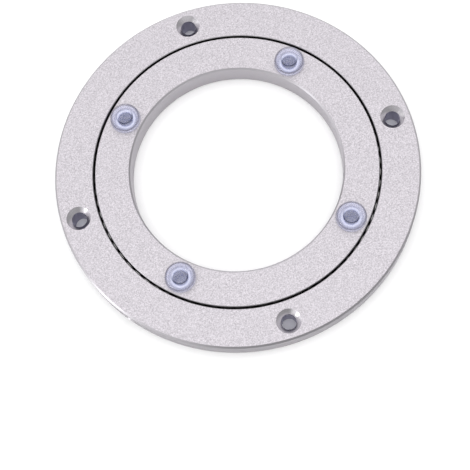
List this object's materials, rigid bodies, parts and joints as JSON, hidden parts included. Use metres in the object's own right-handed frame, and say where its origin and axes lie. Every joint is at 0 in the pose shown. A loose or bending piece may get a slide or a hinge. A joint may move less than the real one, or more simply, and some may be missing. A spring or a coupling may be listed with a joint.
{
  "type": "lazy susan turntable",
  "caption": "Ring turntable: an outer aluminium ring with countersunk screw holes turns on steel balls around an inner ring that stands on clear push-in feet.",
  "frame": {"origin": "centre of the outer ring's mounting face, the face that a tray is screwed to and that the turntable lies on here", "axes": "+Z is the spin axis, pointing from the mounting face to the feet; +X points to a tray screw hole"},
  "size_m": [0.12, 0.12, 0.0115],
  "materials": {
    "blasted_aluminium": "bead-blasted and clear anodised, fine even grain, turned bright chamfers",
    "dark_steel": "black oxide grub screw with a hexagon socket",
    "clear_foot": "clear soft plastic with a faint violet tint, glossy",
    "ball_steel": "polished bearing steel"
  },
  "bodies": {
    "inner_ring_on_feet": {"inner_ring": "blasted_aluminium", "foot_1": "clear_foot", "foot_2": "clear_foot", "foot_3": "clear_foot", "foot_4": "clear_foot"},
    "outer_ring": {"outer_ring": "blasted_aluminium", "loading_screw": "dark_steel"},
    "ball_row": {"bearing_balls_01": "ball_steel", "bearing_balls_02": "ball_steel", "bearing_balls_03": "ball_steel", "bearing_balls_04": "ball_steel", "bearing_balls_05": "ball_steel", "bearing_balls_06": "ball_steel", "bearing_balls_07": "ball_steel", "bearing_balls_08": "ball_steel", "bearing_balls_09": "ball_steel", "bearing_balls_10": "ball_steel", "bearing_balls_11": "ball_steel", "bearing_balls_12": "ball_steel", "bearing_balls_13": "ball_steel", "bearing_balls_14": "ball_steel", "bearing_balls_15": "ball_steel", "bearing_balls_16": "ball_steel", "bearing_balls_17": "ball_steel", "bearing_balls_18": "ball_steel", "bearing_balls_19": "ball_steel", "bearing_balls_20": "ball_steel", "bearing_balls_21": "ball_steel", "bearing_balls_22": "ball_steel", "bearing_balls_23": "ball_steel", "bearing_balls_24": "ball_steel", "bearing_balls_25": "ball_steel", "bearing_balls_26": "ball_steel", "bearing_balls_27": "ball_steel", "bearing_balls_28": "ball_steel", "bearing_balls_29": "ball_steel", "bearing_balls_30": "ball_steel", "bearing_balls_31": "ball_steel", "bearing_balls_32": "ball_steel", "bearing_balls_33": "ball_steel", "bearing_balls_34": "ball_steel", "bearing_balls_35": "ball_steel", "bearing_balls_36": "ball_steel", "bearing_balls_37": "ball_steel"}
  },
  "joints": [
    {"name": "ring_spin", "type": "hinge", "parent": "inner_ring_on_feet", "child": "outer_ring", "pos_m": [0, 0, 0.00425], "axis": [0, 0, 1], "continuous": true},
    {"name": "ball_row_roll", "type": "hinge", "parent": "inner_ring_on_feet", "child": "ball_row", "pos_m": [0, 0, 0.00425], "axis": [0, 0, 1], "continuous": true}
  ],
  "couplings": [
    {"joint": "ball_row_roll", "follows": "ring_spin", "ratio": 0.515}
  ]
}
